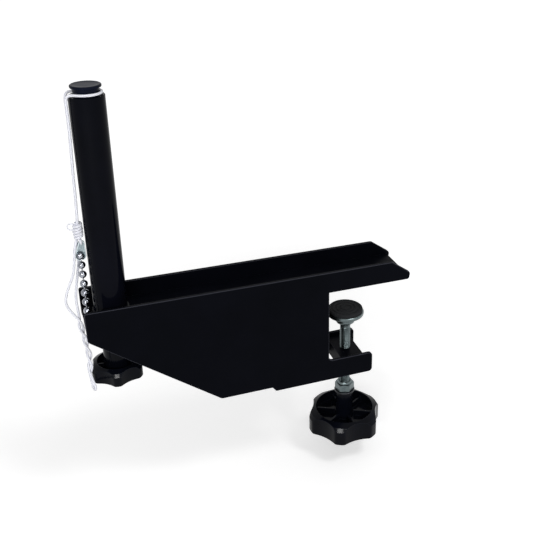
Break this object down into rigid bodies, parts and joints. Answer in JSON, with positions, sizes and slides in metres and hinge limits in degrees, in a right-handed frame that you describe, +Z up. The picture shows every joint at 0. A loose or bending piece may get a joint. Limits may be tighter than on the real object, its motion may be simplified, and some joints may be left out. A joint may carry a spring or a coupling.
{
  "type": "table tennis net clamp",
  "caption": "Screw-on clamp for a table tennis net: folded steel bracket, net post with height screw, star knobs, and a cord tensioner with a ball chain.",
  "frame": {"origin": "on the table-contact face, on the clamp screw's axis, in the net's plane", "axes": "+X towards the table's centre, +Y along the table away from the near player, +Z up"},
  "size_m": [0.242, 0.0544, 0.2926],
  "materials": {
    "powder_coat": "satin-gloss black powder coat",
    "post_enamel": "glossy black enamel",
    "black_plastic": "satin moulded plastic",
    "nylon": "satin nylon",
    "pad_rubber": "matt",
    "zinc_plate": "bright zinc plate",
    "dark_steel": "black oxide",
    "brass": "turned",
    "bead_nickel": "polished nickel plate",
    "steel_wire": "drawn wire",
    "clip_steel": "bright nickel plate",
    "cord": "braided white nylon"
  },
  "bodies": {
    "bracket": {"front_plate": "powder_coat", "rear_plate": "powder_coat", "floor_plate": "powder_coat", "table_pad": "pad_rubber", "throat_web": "powder_coat", "arm_bridge": "powder_coat", "bearing_bridge": "powder_coat", "guide_bush": "nylon", "guide_screw": "zinc_plate", "chain_bead_1": "bead_nickel", "chain_bead_2": "bead_nickel", "chain_bead_3": "bead_nickel", "chain_bead_4": "bead_nickel", "chain_bead_5": "bead_nickel", "chain_bead_6": "bead_nickel", "chain_bead_7": "bead_nickel", "chain_bead_8": "bead_nickel", "chain_bead_9": "bead_nickel", "chain_bead_10": "bead_nickel", "chain_wire": "steel_wire", "chain_clip": "clip_steel", "cord_knot": "cord", "knot_loop": "cord", "clip_loop": "cord", "tension_cord": "cord", "cord_tail": "cord"},
    "post": {"post_tube": "post_enamel", "post_nut": "brass", "post_nut_pin": "zinc_plate", "post_cap": "black_plastic"},
    "height_drive": {"height_screw": "zinc_plate", "height_collar": "zinc_plate", "height_washer": "zinc_plate", "height_knob": "black_plastic", "height_knob_cap": "black_plastic"},
    "clamp_foot": {"swivel_foot": "zinc_plate", "foot_pad": "pad_rubber"},
    "clamp_drive": {"clamp_screw": "zinc_plate", "clamp_nut": "zinc_plate", "clamp_washer": "dark_steel", "clamp_knob": "black_plastic", "clamp_knob_cap": "black_plastic"}
  },
  "joints": [
    {"name": "post_slide", "type": "slide", "parent": "bracket", "child": "post", "axis": [0, 0, 1], "range_m": [-0.004, 0.006], "deforming": ["tension_cord"]},
    {"name": "height_turn", "type": "hinge", "parent": "bracket", "child": "height_drive", "pos_m": [-0.17, 0, 0], "axis": [0, 0, 1], "range_deg": [-1728, 1152]},
    {"name": "clamp_travel", "type": "slide", "parent": "bracket", "child": "clamp_foot", "axis": [0, 0, 1], "range_m": [-0.02, 0.016]},
    {"name": "clamp_turn", "type": "hinge", "parent": "clamp_foot", "child": "clamp_drive", "pos_m": [0, 0, 0], "axis": [0, 0, 1], "range_deg": [-5760, 4608]}
  ],
  "couplings": [
    {"joint": "height_turn", "follows": "post_slide", "rad_per_m": -5026.5},
    {"joint": "clamp_turn", "follows": "clamp_travel", "rad_per_m": 5026.5}
  ]
}
